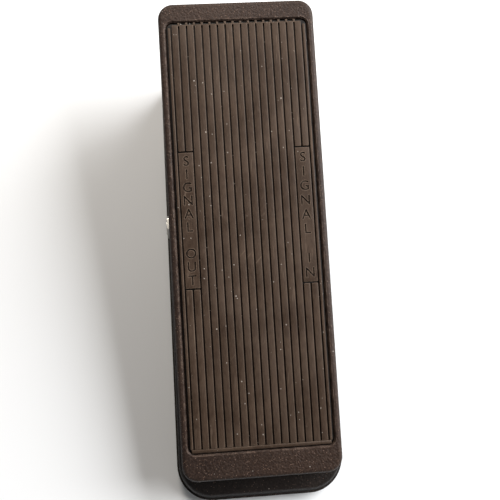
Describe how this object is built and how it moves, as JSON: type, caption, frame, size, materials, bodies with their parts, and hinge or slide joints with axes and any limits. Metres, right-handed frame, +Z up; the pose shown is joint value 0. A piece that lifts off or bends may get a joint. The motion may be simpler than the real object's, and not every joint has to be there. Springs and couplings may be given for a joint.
{
  "type": "volume pedal",
  "caption": "Foot volume pedal: rocking treadle with a ribbed rubber pad on a low cast base, rack-driven potentiometer, a jack in each side.",
  "frame": {"origin": "middle of the footprint, on the floor under the feet", "axes": "+X toward the input jack, +Y toward the toe end, +Z up"},
  "size_m": [0.09, 0.2563, 0.0857],
  "materials": {
    "housing_coat": "textured powder coat, dark",
    "treadle_coat": "textured powder coat, brown-black",
    "pad_rubber": "matt moulded rubber, scuffed",
    "foot_rubber": "matt black rubber",
    "plated_steel": "zinc-plated sheet and screws",
    "ground_steel": "ground steel pin and shaft",
    "white_nylon": "natural nylon",
    "gear_plastic": "moulded black gear plastic",
    "pinion_brass": "turned brass",
    "pot_can_metal": "pressed can, satin",
    "wafer_board": "brown laminate",
    "tinned_brass": "tinned contact strip",
    "jack_plastic": "moulded black plastic",
    "jack_nickel": "bright nickel plate",
    "red_wire": "red insulation",
    "white_wire": "white insulation",
    "black_wire": "black insulation"
  },
  "bodies": {
    "base": {"base_housing": "housing_coat", "base_plate": "plated_steel", "rubber_feet": "foot_rubber", "foot_screws": "plated_steel", "right_bearing": "white_nylon", "left_bearing": "white_nylon", "bearing_clamps": "plated_steel", "clamp_screws": "plated_steel", "rack_guide": "white_nylon", "guide_screw": "plated_steel", "pot_bushing": "jack_nickel", "pot_wafer": "wafer_board", "pot_can": "pot_can_metal", "pot_terminals": "tinned_brass", "pot_washer": "plated_steel", "pot_nut": "jack_nickel", "pot_bracket": "plated_steel", "bracket_screws": "plated_steel", "heel_bumpers": "foot_rubber", "toe_bumpers": "foot_rubber", "input_wire": "red_wire", "output_wire": "white_wire", "ground_wire": "black_wire", "ground_link": "black_wire", "input_jack_body": "jack_plastic", "input_jack_bushing": "jack_nickel", "input_jack_washer": "jack_nickel", "input_jack_nut": "jack_nickel", "input_tip_spring": "tinned_brass", "input_sleeve_contact": "tinned_brass", "output_jack_body": "jack_plastic", "output_jack_bushing": "jack_nickel", "output_jack_washer": "jack_nickel", "output_jack_nut": "jack_nickel", "output_tip_spring": "tinned_brass", "output_sleeve_contact": "tinned_brass"},
    "treadle": {"treadle": "treadle_coat", "tread_pad": "pad_rubber", "pivot_pin": "ground_steel", "pin_clips": "plated_steel", "sector_rack": "gear_plastic", "rack_screws": "plated_steel"},
    "pot_rotor": {"pinion": "pinion_brass", "pinion_set_screw": "plated_steel", "pot_shaft": "ground_steel", "pot_wiper": "wafer_board"}
  },
  "joints": [
    {"name": "treadle_rock", "type": "hinge", "parent": "base", "child": "treadle", "pos_m": [0, 0, 0.03], "axis": [1, 0, 0], "range_deg": [-21, 0]},
    {"name": "pot_turn", "type": "hinge", "parent": "base", "child": "pot_rotor", "pos_m": [0, 0.04092, 0.02055], "axis": [1, 0, 0], "range_deg": [0, 147]}
  ],
  "couplings": [
    {"joint": "pot_turn", "follows": "treadle_rock", "ratio": -7}
  ]
}
